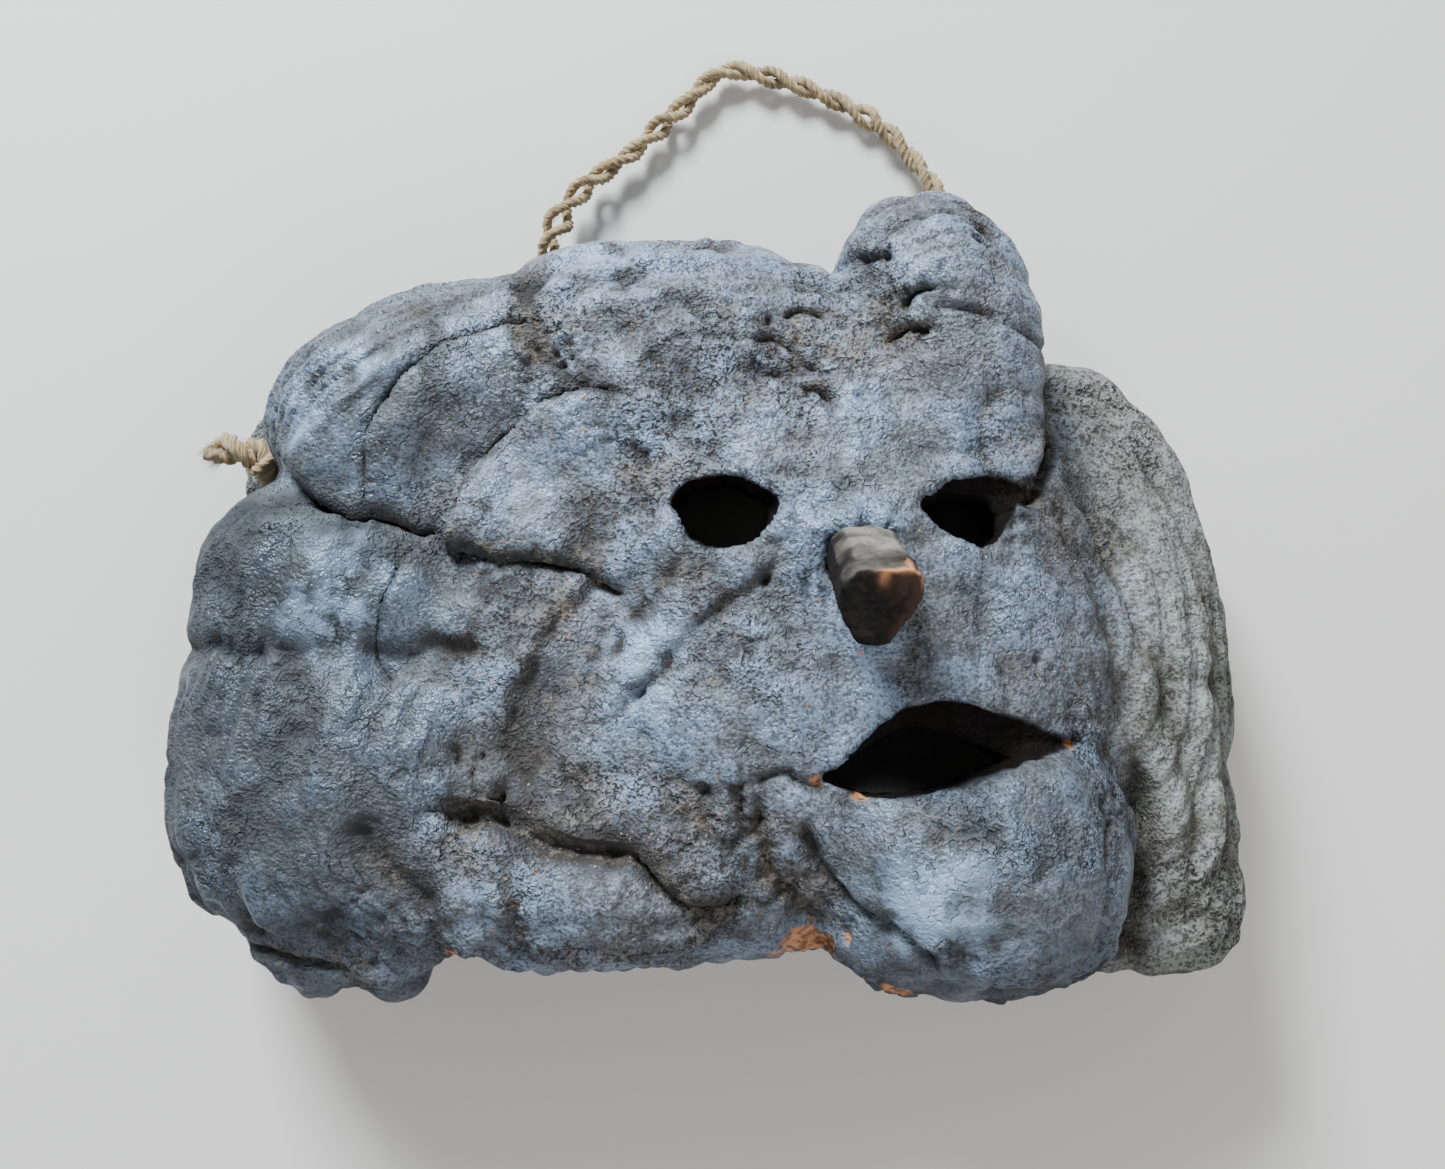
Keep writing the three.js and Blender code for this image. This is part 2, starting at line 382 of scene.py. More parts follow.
Lobe = namedtuple("Lobe", "at half turn square below", defaults=(80,))
LOBES = {
    "face": Lobe((36, -15, 52), (82, 92, 46), 0, 2.6),
    "chin": Lobe((74, -79, 60), (48, 41, 46), 4, 2.3),
    "cheek": Lobe((-40, -13, 50), (66, 78, 38), 0, 2.6),
    "forehead": Lobe((-16, 58, 50), (67, 49, 42), 0, 2.4),
    "brow": Lobe((34, 53, 50), (58, 42, 38), -12, 2.5),
    "crown": Lobe((68.5, 72, 52), (28, 47, 44), 12, 2.6),
    "upper_left": Lobe((-83, 54, 46), (53, 37, 43), 16, 2.3),
    "middle_left": Lobe((-105, 1, 46), (52, 36, 42), 0, 2.3),
    "left_link": Lobe((-118, -28, 48), (39, 34, 38), 0, 2.4),
    "lower_left": Lobe((-101, -57, 48), (62, 50, 42), 0, 2.4),
    "bottom": Lobe((-36, -81, 54), (72, 30, 38), 0, 2.4),
    "flap": Lobe((-108, -105, 60), (28, 13, 10), -6, 2.2, 12),
    "right_rear": Lobe((109, -13, 34), (49.5, 87, 38), 8, 2.25),
    "right_foot": Lobe((127, -82, 32), (32, 32, 32), 0, 3.6),
    "notch_web": Lobe((35, 86, 16), (14, 13, 28), 0, 2.4),
}
REAR_LEFT = Lobe((-133, 41, 18), (20, 27, 18), 0, 2.2)
HOLLOWS = [
    Lobe((34, -15, 0), (66, 74, 88), 0, 3),
    Lobe((-74, -3, 0), (64, 62, 68), 0, 3),
    Lobe((-68, 47, 0), (46, 40, 62), 0, 3),
    Lobe((-8, 55, 0), (52, 36, 72), 0, 3),
    Lobe((61, 54, 0), (29, 46, 68), 0, 3),
]
# The eye holes and the mouth: each one's outline at the skin, then where the cut comes out inside.
EYE_LEFT = [
    (-12, 20.5), (-8, 25.5), (0, 28), (8, 27), (15, 24.5), (19, 19), (16, 13), (9, 8), (-1, 7.5), (-8, 12),
]
EYE_LEFT_INSIDE = [
    (-11.5, 20), (-7.5, 25), (0, 27), (8, 25.5), (13, 22), (15, 17), (13, 12), (7, 8.5), (-1, 8), (-7, 12),
]
EYE_RIGHT = [
    (56.5, 19), (61, 24.5), (69, 27.5), (78, 28), (88, 25), (84, 18), (80, 11.5), (73.5, 7), (64, 11.5),
]
EYE_RIGHT_INSIDE = [
    (57, 18), (61, 22), (68, 23.5), (75, 22), (79, 18), (79.5, 14), (78, 10.5), (73, 7.5), (64, 11.5),
]
MOUTH = [
    (28.5, -55), (35, -49.5), (43, -41.5), (51, -36.5), (62, -34), (73, -35), (86, -39.5), (102, -46.5),
    (85, -51.5), (67, -56.5), (51, -60.5), (38, -59.5),
]
MOUTH_INSIDE = [
    (30, -55.5), (38, -49.5), (46, -44.5), (54, -42), (63, -42.5), (71, -46), (77, -49), (80, -51.5),
    (74, -54), (65, -57), (51, -60), (38, -59),
]
OPENINGS = [(EYE_LEFT, EYE_LEFT_INSIDE), (EYE_RIGHT, EYE_RIGHT_INSIDE), (MOUTH, MOUTH_INSIDE)]
OPENING_BOTTOM = 40  # the openings are cut down to this height, which is in the hollow
NOSE_FOOT = np.array((38.5, 17, 72.0))
NOSE_TIP = np.array((41.5, -11, 131.0))
PEG_LENGTH = np.linalg.norm(NOSE_TIP - NOSE_FOOT)
PEG_AXIS = (NOSE_TIP - NOSE_FOOT) / PEG_LENGTH
# Whittled faces along the peg: direction round it in degrees from +X, distance from its axis at the tip.
PEG_SIDES = [
    (2, 11.6), (48, 12.4), (90, 9.4), (136, 10.2), (180, 9.8), (216, 10.2), (268, 11.2), (322, 9.4),
]
# Whittled faces of its end: direction round the axis, tilt away from the axis, distance from the tip.
PEG_ENDS = [(195, 12, 1.3), (350, 22, 1.4), (60, 50, 8.3), (262, 40, 9.2), (20, 40, 8.6), (120, 38, 8.3)]
PEG_TAPER = 0.03
KNOT_HOLE = ((-146, 40.2, 40.3), (-121, 35.2, 26.4))
LEFT_HOLE = ((-64, 79, 11), (-56, 125, 12))
RIGHT_HOLE = ((78, 131, 12), (62, 83, 12))
CORD_HOLE_RADIUS = 5
MELT = 6.0  # how softly two swellings run into each other


class Block:
    """A box of sample points, cell millimetres apart, as one array for each direction."""

    def __init__(self, low, high, cell):
        self.low, self.cell = np.array(low, float), cell
        counts = [int(math.ceil((b - a) / cell)) + 1 for a, b in zip(low, high)]
        x, y, z = (a + cell * np.arange(n, dtype=np.float32) for a, n in zip(low, counts))
        self.axes = x[:, None, None], y[None, :, None], z[None, None, :]


def across_lobe(lobe, x, y):
    """Distances from a lobe's middle in its own two directions."""
    turn = math.radians(lobe.turn)
    x, y = x - lobe.at[0], y - lobe.at[1]
    return np.cos(turn) * x + np.sin(turn) * y, np.cos(turn) * y - np.sin(turn) * x


def lobe_field(lobe, x, y, z):
    """Distance to a lobe's skin, negative inside."""
    u, v = across_lobe(lobe, x, y)
    z = z - lobe.at[2]
    tall = np.where(z > 0, lobe.half[2], lobe.below)
    shares = (u / lobe.half[0], v / lobe.half[1], z / tall)
    gauge = sum(np.abs(share) ** lobe.square for share in shares) ** (1 / lobe.square)
    gauge = np.maximum(gauge, 1e-3)
    return np.sqrt(u * u + v * v + z * z) * (1 - 1 / gauge)


def melt(a, b, width):
    """The smooth union of two fields."""
    h = np.clip(0.5 + 0.5 * (b - a) / width, 0, 1)
    return b + (a - b) * h - width * h * (1 - h)


def carve(a, b, width):
    """Field a with field b taken away, with an edge rounded over width."""
    return -melt(-a, b, width)


def rod_field(x, y, z, start, end, radius):
    start, end = np.array(start, float), np.array(end, float)
    axis = (end - start) / np.linalg.norm(end - start)
    dx, dy, dz = x - start[0], y - start[1], z - start[2]
    t = np.clip(dx * axis[0] + dy * axis[1] + dz * axis[2], 0, np.linalg.norm(end - start))
    return np.sqrt((dx - t * axis[0]) ** 2 + (dy - t * axis[1]) ** 2 + (dz - t * axis[2]) ** 2) - radius


def outline_field(x, y, outline):
    """Distance in the XY plane to a closed outline, negative inside it."""
    p = smooth_ring(outline)
    nearest = np.full(np.broadcast(x, y).shape, 1e9)
    inside = np.zeros(nearest.shape, bool)
    for (ax, ay), (bx, by) in zip(p, np.roll(p, -1, axis=0)):
        ex, ey = bx - ax, by - ay
        t = np.clip(((x - ax) * ex + (y - ay) * ey) / (ex * ex + ey * ey), 0, 1)
        nearest = np.minimum(nearest, np.hypot(x - ax - t * ex, y - ay - t * ey))
        if ay != by:
            inside ^= ((ay > y) != (by > y)) & (x < ax + (y - ay) * ex / ey)
    return np.where(inside, -nearest, nearest)


def surface(field, block):
    """The zero level of a field, as points in millimetres and four-sided faces."""
    reach = 3 * block.cell
    grid = openvdb.FloatGrid(reach)
    grid.copyFromArray(np.clip(field, -reach, reach).astype(np.float32))
    points, _, quads = grid.convertToPolygons(0.0, 0.0)
    return points * block.cell + block.low, quads


def peg_faces(x, y, z):
    """Distance outside each whittled face of the nose peg: a list for its sides, and one for its end."""
    right = np.cross((0, 1, 0), PEG_AXIS)
    right /= np.linalg.norm(right)
    up = np.cross(PEG_AXIS, right)
    dx, dy, dz = x - NOSE_TIP[0], y - NOSE_TIP[1], z - NOSE_TIP[2]
    u = dx * right[0] + dy * right[1] + dz * right[2]
    v = dx * up[0] + dy * up[1] + dz * up[2]
    along = dx * PEG_AXIS[0] + dy * PEG_AXIS[1] + dz * PEG_AXIS[2]
    sides, ends = [], []
    for degrees, distance in PEG_SIDES:
        turn = math.radians(degrees)
        sides.append(math.cos(turn) * u + math.sin(turn) * v - PEG_TAPER * along - distance)
    for degrees, tilt, distance in PEG_ENDS:
        turn, tilt = math.radians(degrees), math.radians(tilt)
        outward = math.cos(turn) * u + math.sin(turn) * v
        ends.append(math.sin(tilt) * outward + math.cos(tilt) * along - distance)
    return sides, ends, along


def peg_field(x, y, z, rounding=0.7):
    """Distance to the peg's skin, negative inside; its corners are rounded a little."""
    sides, ends, along = peg_faces(x, y, z)
    field = sides[0]
    for face in sides[1:] + ends:
        field = -melt(-field, -face, rounding)
    return -melt(-field, along + PEG_LENGTH, rounding)


def melted(lobes, x, y, z):
    """The smooth union of several lobes."""
    return reduce(lambda a, b: melt(a, b, MELT), (lobe_field(lobe, x, y, z) for lobe in lobes))


def swellings(x, y, z):
    """The cluster's outer skin, before it is hollowed and pierced."""
    return melted(LOBES.values(), x, y, z)


def fungus_field(block):
    """The cluster, hollowed behind, with its openings, its holes for cord and peg, and a flat back rim."""
    x, y, z = block.axes
    field = swellings(x, y, z)
    deep = ramp(-field, 0.5, 8)
    field = carve(field, melted(HOLLOWS, x, y, z), 3)
    flat = np.stack(np.broadcast_arrays(x[..., 0], y[..., 0], 0 * x[..., 0]), axis=-1).reshape(-1, 3)
    shape = (x.shape[0], y.shape[1])
    fray = (rough(flat, 4, 3, 41) * 0.5).reshape(shape)
    low = np.where(z < OPENING_BOTTOM, OPENING_BOTTOM - z, 0)
    for outside, inside in OPENINGS:
        outer = outline_field(x[..., 0], y[..., 0], outside) + fray
        inner = outline_field(x[..., 0], y[..., 0], inside) + fray
        field = carve(field, outer[..., None] * (1 - deep) + inner[..., None] * deep + low, 1.2)
    for start, end in (KNOT_HOLE, LEFT_HOLE, RIGHT_HOLE):
        field = carve(field, rod_field(x, y, z, start, end, CORD_HOLE_RADIUS), 1.5)
    field = carve(field, peg_field(x, y, z) - 0.25, 0.8)
    return carve(field, z + 0 * x, 1.2)


# A crease: its route, its groove's depth and half width, how far its left-hand side is lifted and over what
# distance that fades, and how far the lifted lip is pushed over the groove.
Crease = namedtuple("Crease", "route depth width lift reach shove", defaults=(0, 14, 0))
CREASES = [Crease(*row) for row in [
    ([(-131, 46), (-125, 37), (-116, 28), (-104, 23.5), (-88, 19), (-79, 16), (-71, 13), (-60, 10)],
     9, 1.7, 6, 16, 5),
    ([(-79, 16), (-71, 13), (-62, 10), (-51, 7.5), (-43, 6.5), (-37, 5), (-31, 1), (-25, -6)],
     9, 1.9, 6, 16, 5),
    ([(-48, 76), (-60, 71.6), (-70, 67), (-81, 62), (-89, 55.6), (-95, 48), (-97.5, 40), (-98.5, 31),
      (-99, 16)], 4.2, 1.3, 5, 11, 2),
    ([(-22, 51), (-32, 52), (-40, 50.4), (-48.5, 46.4), (-58, 39), (-65, 33), (-69, 26), (-70.5, 19),
      (-71, 6)], 5.5, 1.3, 6, 12, 3),
    ([(-68, 21), (-77, 13.6), (-83, 8), (-87.6, 1), (-91, -6), (-92, -14.5), (-92, -22), (-88, -30)],
     5, 1.0, 5, 12, 2.8),
    ([(-100, -19), (-88, -21), (-78, -18), (-62, -22)], 2.6, 3.4, 2.5),
    ([(-162, -18), (-150, -19), (-138, -19), (-125, -20), (-108, -20)], 3.0, 3.8, 2.5),
    ([(-138, -103), (-130, -106), (-123, -107), (-112, -109), (-103, -111)], 5, 1.6, 2),
    ([(-126, -40), (-126, -31), (-124, -27), (-120, -24), (-115, -22)], 1.4, 1.0, 1, 6),
    ([(21, 9), (13, 0), (6, -5), (-3.5, -14), (-12, -22), (-20, -31), (-31, -45)], 1.7, 1.8, -2.5),
    ([(-4, 10), (-20, -9), (-30, -19), (-38, -32)], 1.5, 2.6, -2.5),
    ([(-24, -5), (-31, -17), (-42, -31), (-46, -45), (-50, -60)], 2.4, 5.0, 2),
    ([(-55, 86), (-57, 74), (-52, 66), (-43, 59), (-30, 50)], 1.8, 1.6, -2),
    ([(-22, 58), (-15, 65), (-4, 68), (8, 68), (20, 71)], 1.0, 1.4, 1.6, 8),
    ([(-46, -22), (-52, -34), (-55, -48), (-50, -58)], 2.2, 4, 2),
    ([(-24, 8), (-36, -4), (-46, -17), (-54, -33)], 1.4, 2.4, -3),
    ([(-100, -66), (-94, -74), (-83, -87), (-76, -96)], 4, 5, 2),
    ([(-78, -64), (-60, -63), (-43, -70), (-28, -73), (-18, -76)], 7, 6, 6, 16, 3),
    ([(-24, -74), (-18, -76), (-10, -85), (-4, -89), (10, -90)], 10, 3.2, 7, 16, 5),
    ([(14, -55), (13, -67), (15, -78), (21, -90), (27, -98)], 3, 2.0, 1),
    ([(24, -64), (27, -73), (31, -83), (43, -94), (56, -103), (66, -112)], 4, 1.8, 3),
    ([(121, -48), (124, -60), (125, -74), (121, -88), (118, -98), (124, -112)], 7, 3.2, 2),
    ([(60, 76), (66, 75), (76, 72), (87, 69), (97, 63)], 1.8, 0.8, 0.8),
    ([(52, 75), (55, 79), (59, 81), (64, 80)], 4.2, 1.3, 2.5, 5, 1.2),
    ([(48, 66), (53, 70), (58, 70), (61, 67)], 2.8, 1.1, 2, 5, 0.8),
    ([(20, 75), (24, 78), (29, 79), (33, 76)], 3.0, 1.1, 2, 5, 0.8),
    ([(10, 66), (16, 69), (22, 67), (25, 61), (31, 58)], 2.6, 1.2, 1.5, 5, 1),
    ([(27, 54), (33, 52), (38, 47)], 1.8, 1.0, 1.5, 5, 0.6),
    ([(93, 88), (97, 74), (98, 61), (97, 44), (94, 30), (92, 20)], 7, 2.6, -6, 12),
    ([(79, 26), (87, 24), (93, 21)], 6, 2.0, 0),
    ([(31, -57), (24, -56), (19, -53), (12, -57)], 3, 1.3, 0),
    ([(31, 103), (36, 96), (46, 93), (52, 89)], 3.2, 1.7, 3),
    ([(34, 92), (38, 102), (47, 109), (62, 115)], 2.2, 1.2, 0),
    ([(43, 94), (49, 100), (60, 105), (72, 106)], 1.8, 1.2, 0),
    ([(-62, 104), (-60, 92), (-55, 80), (-50, 70), (-40, 58)], 1.7, 2.4, -2),
    ([(95, 30), (101, 14), (108, -6), (115, -28), (121, -48)], 2.2, 3.5, -2),
    ([(104, 36), (113, 8), (122, -12), (131, -30), (136, -48), (139, -70), (137, -98)],
     2.6, 3.5, -2.5),
    ([(120, 50), (134, 28), (144, 4), (149, -20), (152, -48), (151, -90)], 2.6, 3.2, -2.5),
]]
# Deep pits: centre in the XY plane, radius and depth.
PITS = [(-22, -32, 2.4, 3.5), (13, -1, 1.6, 2.5), (88, -23, 1.3, 2)]
# Crumbling patches of the skin: centre, radius and how deep the holes in them go.
CRUMBLED = [
    (56, 74, 13, 2.6), (20, 68, 13, 3.4), (31, 50, 10, 3), (-45, 62, 18, 2.4), (-60, -62, 16, 2.6),
    (-56, 84, 9, 1.8), (-28, 38, 12, 2.2), (4, -66, 17, 3.4), (-70, -56, 20, 2.2), (-98, -98, 16, 2.5),
    (78, 98, 8, 2), (-104, 20, 7, 2), (88, 22, 8, 4), (112, -62, 9, 2.5), (-60, 2, 12, 1.6),
    (20, -88, 12, 3),
]
# Patches where the skin is broken and the brown flesh shows: centre and radius.
FLESH = [
    ((29, -102, 66), 9), ((22, -109, 60), 6), ((60, -117, 60), 7), ((52, -114, 60), 5),
    ((-71, -106, 71), 5), ((51, -115, 75), 4.5), ((28, -55.5, 96), 2.4), ((40, -60, 96), 2.2),
    ((99, -46, 88), 2.0), ((-93, 33, 60), 3), ((65, -119, 55), 5),
]
# Corners with frayed fibres, darkened in fibre streaks as painted shade: centre in the XY plane and radius.
FRAYED_AND_SHADED_CORNERS = [
    (86, 22, 7), (91, 26, 5), (85, 14, 5), (17, 18, 4), (101, -46, 4), (27, -56, 3.5), (95, 40, 6),
    (28, -3, 4),
]
# Glossier patches, which also get a painted highlight of lighter blue: centre in the XY plane and radius.
GLOSSY_HIGHLIGHT_PATCHES = [
    (-104, 61, 9), (-112, 42, 7), (-121, 52, 5), (-30, 92, 12), (-60, 28, 10), (-105, -6, 14),
    (-20, -20, 14), (60, -88, 16),
]
# How much painted shade darkens the skin of each swelling, against the forehead's.
PAINTED_SHADE = {
    "middle_left": 1.7, "left_link": 1.5, "lower_left": 1.3, "chin": 1.05, "flap": 1, "upper_left": 0.75,
    "face": 0.35, "crown": 0.25, "right_rear": 0.2, "right_foot": 0.2, "cheek": 0.1,
}
# painted shade on all side walls
PAINTED_SIDE_SHADE = 0.55  # how much darker all side walls are
FAN = (37, -61)  # where the growth zones of the whole cluster start
FOLD_PITCH = 23  # from one broad fold of growth to the next
RIDGE_PITCH = 6.4  # from one growth ridge to the next, in front
FINE_RIDGE_PITCH = 2.9
SHELF_PITCH = 11  # from one shelf of the rear bracket to the next
FINE_SHELF_PITCH = 3.6
CROWN_PITCH = 5.2  # from one ridge of the crown's end to the next


def crease_relief(x, y, crease):
    """How far a crease lifts each point, how deep its groove is there, and the sideways push of its lip."""
    p = smooth_path([(a, b, 0) for a, b in crease.route], 4)[:, :2]
    nearest = np.full(len(x), 1e9)
    side, fade, away_x, away_y = (np.zeros(len(x)) for _ in range(4))
    count = len(p) - 1
    for i, ((ax, ay), (bx, by)) in enumerate(zip(p[:-1], p[1:])):
        ex, ey = bx - ax, by - ay
        t = np.clip(((x - ax) * ex + (y - ay) * ey) / (ex * ex + ey * ey), 0, 1)
        dx, dy = x - ax - t * ex, y - ay - t * ey
        distance = np.hypot(dx, dy)
        closer = distance < nearest
        nearest = np.where(closer, distance, nearest)
        side = np.where(closer, np.sign(ex * dy - ey * dx), side)
        fade = np.where(closer, (i + t) / count, fade)
        away_x = np.where(closer, dx, away_x)
        away_y = np.where(closer, dy, away_y)
    ends = np.clip(np.minimum(fade, 1 - fade) / 0.15, 0.15, 1)
    groove = -crease.depth * np.exp(-((nearest / crease.width) ** 1.5))
    lift = 0.5 * crease.lift * side * np.exp(-nearest / crease.reach) * (1 - np.exp(-nearest / 1.5))
    lip = ramp(nearest, 0, crease.width) * np.exp(-np.maximum(nearest - crease.width, 0) / 5) * (side > 0)
    push = -crease.shove * ends * lip / np.maximum(nearest, 0.3)
    return ends * (groove + lift), ends * groove, np.stack([away_x * push, away_y * push], axis=1)


def billow(p, size, octaves, seed=0):
    """Pillow-like lumps with sharp creases between them, from 0 in the creases to 1."""
    total, weight = 0, 0
    for i in range(octaves):
        total = total + 0.5**i * np.minimum(1, 1.8 * np.abs(noise(p, size / 2**i, seed + i)))
        weight += 0.5**i
    return total / weight


def wave(distance, pitch, shift):
    return np.sin(2 * math.pi * distance / pitch + shift)


def creases_and_pits(x, y):
    """All creases and pits together: lift, groove depth and sideways push of each point."""
    lift, groove = np.zeros(len(x)), np.zeros(len(x))
    shove = np.zeros((len(x), 3))
    for crease in CREASES:
        crease_lift, crease_groove, push = crease_relief(x, y, crease)
        lift += crease_lift
        groove += crease_groove
        shove[:, :2] += push
    for px, py, radius, depth in PITS:
        pit = -depth * np.exp(-(((x - px) ** 2 + (y - py) ** 2) / radius**2) ** 1.5)
        lift += pit
        groove += pit
    return lift, groove, shove


def crumbled_relief(p, x, y):
    """Patches where the skin has broken into crumbs, holes and cracks: each point's lift and hollowness."""
    holes = ramp(noise(p, 4.6, 70) + 0.5 * noise(p, 2.1, 72), 0.35, 0.85)
    cracks = ramp(1 - np.abs(noise(p, 8, 73) + 0.3 * noise(p, 3, 74)) / 0.16, 0, 0.8)
    crumbs = rough(p, 6, 3, 76)
    ragged = 0.25 * noise(p, 9, 78)
    lift, hollow = np.zeros(len(p)), np.zeros(len(p))
    for px, py, radius, depth in CRUMBLED:
        patch = ramp(-np.hypot(x - px, y - py) / radius + ragged, -1.0, -0.45)
        gaps = depth * (0.7 * holes + 0.45 * cracks)
        lift += patch * (0.35 * depth * crumbs - gaps)
        hollow += patch * (0.5 * crumbs - 1.3 * gaps)
    return lift, hollow


def growth_relief(p, x, y, zone, own, fields):
    """The zones in which the fungus grew: folds and fine ridges in front, shelves on the rear bracket.

    Gives the lift of each point, and the height of the fine ridges there.
    """
    z = p[:, 2]
    drift = rough(p, 30, 2, 21)
    rear = own["right_rear"] + own["right_foot"]
    away = np.hypot(x - FAN[0], 1.15 * (y - FAN[1]))
    fanned = (1 - own["crown"] - rear - 0.8 * own["chin"]) * ramp(away, 45, 110)
    lift = fanned * wave(zone, FOLD_PITCH, 2.2 * drift) * (0.6 + 0.6 * noise(p, 35, 5))
    turns = 2 * math.pi * zone / RIDGE_PITCH + 4.0 * drift
    ridges = np.sin(turns + 0.8 * np.sin(turns)) + 0.35 * wave(zone, FINE_RIDGE_PITCH, 6 * drift)
    clear = noise(p, 24, 31) + 0.5 * own["upper_left"] + 0.3 * own["lower_left"]
    ridges = fanned * ridges * (0.15 + 0.85 * ramp(clear, -0.1, 0.9))
    lift += (0.5 + 0.3 * own["upper_left"]) * ridges

    lobe = LOBES["right_rear"]
    u, v = across_lobe(lobe, x, y)
    squareness = 2.4
    margin = np.abs(u / lobe.half[0]) ** squareness + np.abs(v / lobe.half[1]) ** squareness
    shelf = 50 * margin ** (1 / squareness) - 0.9 * (z - 40)
    lift += rear * 0.9 * wave(shelf, SHELF_PITCH, 1.5 * drift)
    lift += rear * 0.35 * wave(shelf, FINE_SHELF_PITCH, 3 * drift)

    cap = -fields["crown"] * 0.4 + 1.1 * np.hypot(x - 66, 0.8 * (y - 50)) - 0.6 * (z - 60)
    lift += own["crown"] * 0.45 * wave(cap, CROWN_PITCH, 2.5 * drift) * ramp(y, 70, 95)
    return lift, ridges


def skin_masks(p, x, y, own, front, inner, torn):
    """Where the skin is painted near-black or darker as shade, frayed, and glossy with a painted highlight.
    """
    # painted shade: darker swellings on the left and at the chin, and darker side walls
    painted_shade = sum(weight * own[name] for name, weight in PAINTED_SHADE.items())
    painted_shade = np.minimum(painted_shade + PAINTED_SIDE_SHADE * (1 - front), 1.7)
    # glossy patches, which the material also paints lighter blue as a highlight
    gloss_and_painted_highlight = np.zeros(len(p))
    for px, py, radius in GLOSSY_HIGHLIGHT_PATCHES:
        gloss_and_painted_highlight = np.maximum(gloss_and_painted_highlight, np.exp(-((p[:, 0] - px) ** 2 + (p[:, 1] - py) ** 2) / radius**2))
    # painted shade: near-black inside the hollow and on the openings' walls, and a little on the torn edge
    # that faces down
    dark = np.maximum(inner, 0.2 * torn)
    fibres = ramp(noise(p * (1, 1, 0.3), 2.6, 150) + 0.5 * noise(p, 1.3, 151), -0.5, 0.5)
    # frayed corners darkened in fibre streaks: painted shade of those corners
    for px, py, radius in FRAYED_AND_SHADED_CORNERS:
        dark = np.maximum(dark, fibres * np.exp(-((x - px) ** 2 + (y - py) ** 2) / radius**2))
    return {"inner": dark, "painted_shade": painted_shade, "gloss_and_painted_highlight": gloss_and_painted_highlight}


def fungus_relief(p, normal):
    """How far each point of the cluster's skin moves, and its colour masks."""
    x, y, z = p.T
    wx = x + 1.2 * rough(p, 12, 3, 3)
    wy = y + 1.2 * rough(p, 12, 3, 9)
    fields = {name: lobe_field(lobe, x, y, z) for name, lobe in LOBES.items()}
    own = np.exp(-np.stack(list(fields.values())) / 5)
    own = dict(zip(fields, own / own.sum(axis=0)))
    front = ramp(normal[:, 2], -0.1, 0.5)
    inner = ramp(-swellings(x, y, z), 0.6, 2.0)
    rear = own["right_rear"] + own["right_foot"]

    crease_lift, groove, shove = creases_and_pits(wx, wy)
    crumb_lift, crumb_hollow = crumbled_relief(p, wx, wy)
    # how far out in the growth a point lies: outwards from the fan's start, then down the side walls
    zone = np.hypot(wx - FAN[0], 1.15 * (wy - FAN[1])) + 0.8 * (60 - z)
    growth_lift, ridges = growth_relief(p, wx, wy, zone, own, fields)
    move = front * (crease_lift + crumb_lift) + growth_lift
    # how sunken each point is; the material paints sunken parts darker, as shade
    cavity = front * (groove + crumb_hollow) + 0.6 * ridges

    # crusty skin: lumps stretched along the growth zones, cracks between them, and small pits
    bearing = 90 * np.arctan2(wy - FAN[1], wx - FAN[0])
    crust = billow(np.stack([zone, 0.35 * bearing, 0.5 * z], axis=1), 7, 3, 80)
    swelling = billow(p, 26, 2, 50)
    lumps = rough(p, 12, 2, 55)
    grain = rough(p, 4.5, 2, 60)
    pits = ramp(noise(p, 4.0, 70) + 0.6 * noise(p, 11, 71), 0.6, 1.05)
    coarse = noise(p, 22, 75) + 0.5 * own["forehead"] + 0.5 * own["brow"] + 0.3 * own["cheek"]
    coarse -= 0.3 * own["upper_left"] + 1.6 * (swelling - 0.5) + 0.25 * cavity
    coarse = 0.2 + 0.8 * ramp(coarse, -0.2, 0.9)
    calm = 1 - 0.5 * rear
    level = 1 - 0.6 * own["upper_left"] - 0.5 * own["middle_left"]
    move += 2.8 * level * (swelling - 0.5) + 0.8 * calm * lumps
    move += calm * coarse * (1.2 * (crust - 0.55) + 0.7 * grain - 0.9 * pits * front)
    cavity += coarse * (1.4 * (crust - 0.6) + 0.7 * grain - 0.9 * pits)
    cavity += 1.8 * (swelling - 0.5) + 0.9 * lumps

    # the torn edge along the bottom, and the skin heaped up round the peg
    torn = ramp(-normal[:, 1], 0.2, 0.7) * ramp(-y, 78, 95) * ramp(z, 6, 20)
    move += torn * (2.2 * rough(p, 11, 2, 95) - pits)
    heap = (1.6 + 3.2 * ramp(y, 8, 16)) * np.exp(-np.maximum(peg_field(x, y, z), 0) / 3.5)
    move += heap * (1 - inner) * (0.8 + 0.5 * noise(p, 5, 92))

    flesh = np.zeros(len(p))
    for centre, radius in FLESH:
        distance = np.linalg.norm((p - np.array(centre)) * (1, 1, 0.5), axis=1) / radius
        flesh = np.maximum(flesh, ramp(-distance + 0.5 * rough(p, 5, 3, 90), -1.0, -0.75))
    move += flesh * (-1.6 + 0.9 * billow(p, 4, 2, 99))
    move = move * (1 - inner) + inner * 1.5 * (billow(p, 9, 3, 110) - 0.5)
    masks = {"cavity": cavity, "rear": rear, "flesh": flesh, "coarse": coarse}
    masks.update(skin_masks(p, wx, wy, own, front, inner, torn))
    return normal * move[:, None] + shove * (front * (1 - inner))[:, None], masks


def skin(name, field, block):
    """The mesh of a field's surface, with its points in millimetres and their normals."""
    points, quads = surface(field, block)
    thing = mesh_object(name, points, quads)
    normals = np.zeros(len(points) * 3)
    thing.data.vertex_normals.foreach_get("vector", normals)
    return thing, points, normals.reshape(-1, 3)


def move_skin(thing, points, masks, material):
    """Moves a skin's points, and gives it its masks and its material."""
    thing.data.vertices.foreach_set("co", (points * MM).ravel())
    thing.data.update()
    for name, values in masks.items():
        add_attribute(thing, name, values)
    thing.data.materials.append(material)


